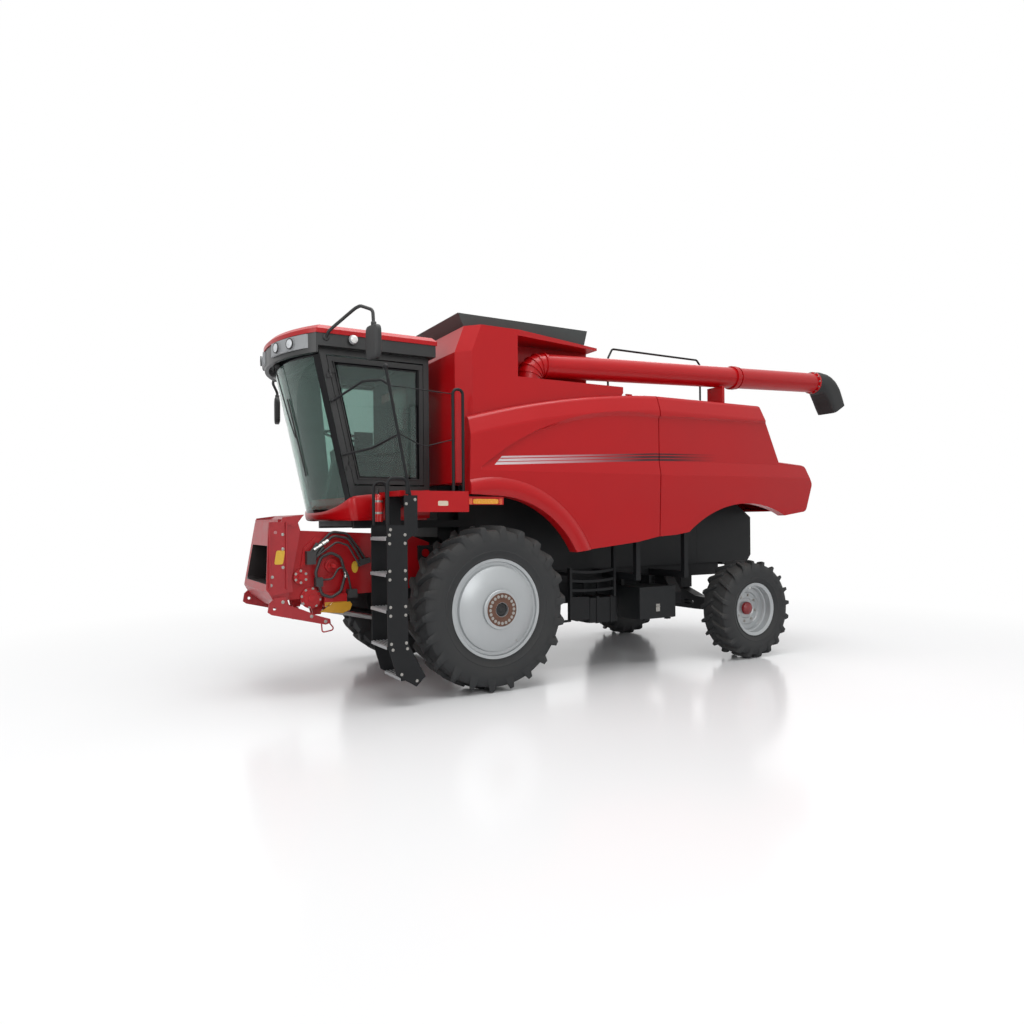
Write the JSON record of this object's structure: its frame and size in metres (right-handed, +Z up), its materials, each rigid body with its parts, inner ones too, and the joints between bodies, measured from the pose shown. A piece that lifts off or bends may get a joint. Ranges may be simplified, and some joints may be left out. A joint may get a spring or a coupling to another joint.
{
  "type": "combine harvester",
  "caption": "A red combine harvester without its header: cab, grain tank, folded unloading auger, feeder house, four tyred wheels and side panels.",
  "frame": {"origin": "on the ground under the middle of the bounding box", "axes": "+Y points to the rear of the machine, +X to the ladder side, +Z up"},
  "size_m": [2.8604, 7.9429, 3.905],
  "materials": {
    "body_red": "satin",
    "frame_black": "satin",
    "rim_silver": "satin",
    "tyre": "matte",
    "glass": "polished",
    "grey_sheet": "satin",
    "bare_steel": "satin",
    "black_plastic": "matte",
    "seat_fabric": "matte",
    "cast": "rough"
  },
  "bodies": {
    "chassis": {"auger_cradle": "body_red", "cab_base": "body_red", "cab_bearers": "frame_black", "cab_frame": "frame_black", "cab_roof": "body_red", "cab_windows": "glass", "control_console": "black_plastic", "engine_block": "cast", "engine_hood": "body_red", "front_axle": "frame_black", "grain_tank": "body_red", "guard_rails": "frame_black", "ladder": "frame_black", "lower_frames": "frame_black", "main_frame": "frame_black", "mirror_left": "black_plastic", "mirror_right": "black_plastic", "platform": "body_red", "rear_axle": "frame_black", "roof_visor": "black_plastic", "seat": "seat_fabric", "seat_base": "black_plastic", "steering_column": "black_plastic", "straw_hood": "frame_black", "tank_augers": "bare_steel", "tank_extension": "grey_sheet", "threshing_body": "frame_black", "tool_box": "frame_black", "windscreen": "glass", "work_lamps": "black_plastic"},
    "feeder": {"feeder_chain": "bare_steel", "feeder_drive": "body_red", "feeder_frame": "body_red", "feeder_hoses": "black_plastic", "feeder_house": "body_red", "header_latches": "body_red"},
    "unloader": {"unload_auger": "body_red", "auger_boot": "black_plastic"},
    "door": {"cab_door": "frame_black", "door_glass": "glass"},
    "box_door": {"tool_box_door": "frame_black"},
    "tie": {"tie_rod": "frame_black"},
    "wheel_front_left": {"tyre_front_left": "tyre", "rim_front_left": "rim_silver"},
    "wheel_rear_left": {"tyre_rear_left": "tyre", "rim_rear_left": "rim_silver"},
    "steer_left": {"knuckle_left": "frame_black"},
    "barrel_left": {"lift_barrel_left": "frame_black"},
    "rod_left": {"lift_rod_left": "bare_steel"},
    "panel_front_left": {"side_panel_front_left": "body_red"},
    "panel_rear_left": {"side_panel_rear_left": "body_red"},
    "wheel_front_right": {"tyre_front_right": "tyre", "rim_front_right": "rim_silver"},
    "wheel_rear_right": {"tyre_rear_right": "tyre", "rim_rear_right": "rim_silver"},
    "steer_right": {"knuckle_right": "frame_black"},
    "barrel_right": {"lift_barrel_right": "frame_black"},
    "rod_right": {"lift_rod_right": "bare_steel"},
    "panel_front_right": {"side_panel_front_right": "body_red"},
    "panel_rear_right": {"side_panel_rear_right": "body_red"}
  },
  "joints": [
    {"name": "wheel_front_left", "type": "hinge", "parent": "chassis", "child": "wheel_front_left", "pos_m": [1.115, -1.846, 0.845], "axis": [1, 0, 0], "continuous": true},
    {"name": "steer_left", "type": "hinge", "parent": "chassis", "child": "steer_left", "pos_m": [0.93, 1.854, 0.608], "axis": [0, 0, 1], "range_deg": [-40, 40]},
    {"name": "wheel_rear_left", "type": "hinge", "parent": "steer_left", "child": "wheel_rear_left", "pos_m": [1.2, 1.854, 0.608], "axis": [1, 0, 0], "continuous": true},
    {"name": "wheel_front_right", "type": "hinge", "parent": "chassis", "child": "wheel_front_right", "pos_m": [-1.115, -1.846, 0.845], "axis": [1, 0, 0], "continuous": true},
    {"name": "steer_right", "type": "hinge", "parent": "chassis", "child": "steer_right", "pos_m": [-0.93, 1.854, 0.608], "axis": [0, 0, 1], "range_deg": [-40, 40]},
    {"name": "wheel_rear_right", "type": "hinge", "parent": "steer_right", "child": "wheel_rear_right", "pos_m": [-1.2, 1.854, 0.608], "axis": [1, 0, 0], "continuous": true},
    {"name": "tie_rod", "type": "hinge", "parent": "steer_left", "child": "tie", "pos_m": [0.93, 2.054, 0.49], "axis": [0, 0, 1], "range_deg": [-40, 40]},
    {"name": "feeder_lift", "type": "hinge", "parent": "chassis", "child": "feeder", "pos_m": [0, -2.296, 1.4], "axis": [1, 0, 0], "range_deg": [-4, 24]},
    {"name": "lift_barrel_left", "type": "hinge", "parent": "chassis", "child": "barrel_left", "pos_m": [0.4, -2.036, 0.56], "axis": [1, 0, 0], "range_deg": [-3.2, 18.2]},
    {"name": "lift_rod_left", "type": "slide", "parent": "barrel_left", "child": "rod_left", "axis": [0, -0.9781, 0.2081], "range_m": [-0.343, 0.0588]},
    {"name": "lift_barrel_right", "type": "hinge", "parent": "chassis", "child": "barrel_right", "pos_m": [-0.4, -2.036, 0.56], "axis": [1, 0, 0], "range_deg": [-3.2, 18.2]},
    {"name": "lift_rod_right", "type": "slide", "parent": "barrel_right", "child": "rod_right", "axis": [0, -0.9781, 0.2081], "range_m": [-0.343, 0.0588]},
    {"name": "cab_door", "type": "hinge", "parent": "chassis", "child": "door", "pos_m": [0.756, -3.1811, 2.3], "axis": [0, -0.2141, 0.9768], "range_deg": [-35, 0]},
    {"name": "unload_auger_swing", "type": "hinge", "parent": "chassis", "child": "unloader", "pos_m": [1.005, -1.241, 3.425], "axis": [0, 0, 1], "range_deg": [-95, 0]},
    {"name": "side_panel_front_left", "type": "hinge", "parent": "chassis", "child": "panel_front_left", "pos_m": [1.16, 0.159, 3.172], "axis": [0, 1, 0], "range_deg": [-60, 0]},
    {"name": "side_panel_front_right", "type": "hinge", "parent": "chassis", "child": "panel_front_right", "pos_m": [-1.16, 0.159, 3.172], "axis": [0, 1, 0], "range_deg": [0, 60]},
    {"name": "side_panel_rear_left", "type": "hinge", "parent": "chassis", "child": "panel_rear_left", "pos_m": [1.16, 1.244, 3.172], "axis": [0, 1, 0], "range_deg": [-60, 0]},
    {"name": "side_panel_rear_right", "type": "hinge", "parent": "chassis", "child": "panel_rear_right", "pos_m": [-1.16, 1.244, 3.172], "axis": [0, 1, 0], "range_deg": [0, 60]},
    {"name": "tool_box_door", "type": "hinge", "parent": "chassis", "child": "box_door", "pos_m": [1.07, 0.514, 0.547], "axis": [0, 1, 0], "range_deg": [0, 95]}
  ],
  "couplings": [
    {"joint": "steer_right", "follows": "steer_left", "ratio": 1},
    {"joint": "tie_rod", "follows": "steer_left", "ratio": -1},
    {"joint": "lift_barrel_left", "follows": "feeder_lift", "ratio": 0.75},
    {"joint": "lift_rod_left", "follows": "feeder_lift", "m_per_rad": -0.814},
    {"joint": "lift_barrel_right", "follows": "feeder_lift", "ratio": 0.75},
    {"joint": "lift_rod_right", "follows": "feeder_lift", "m_per_rad": -0.814}
  ]
}
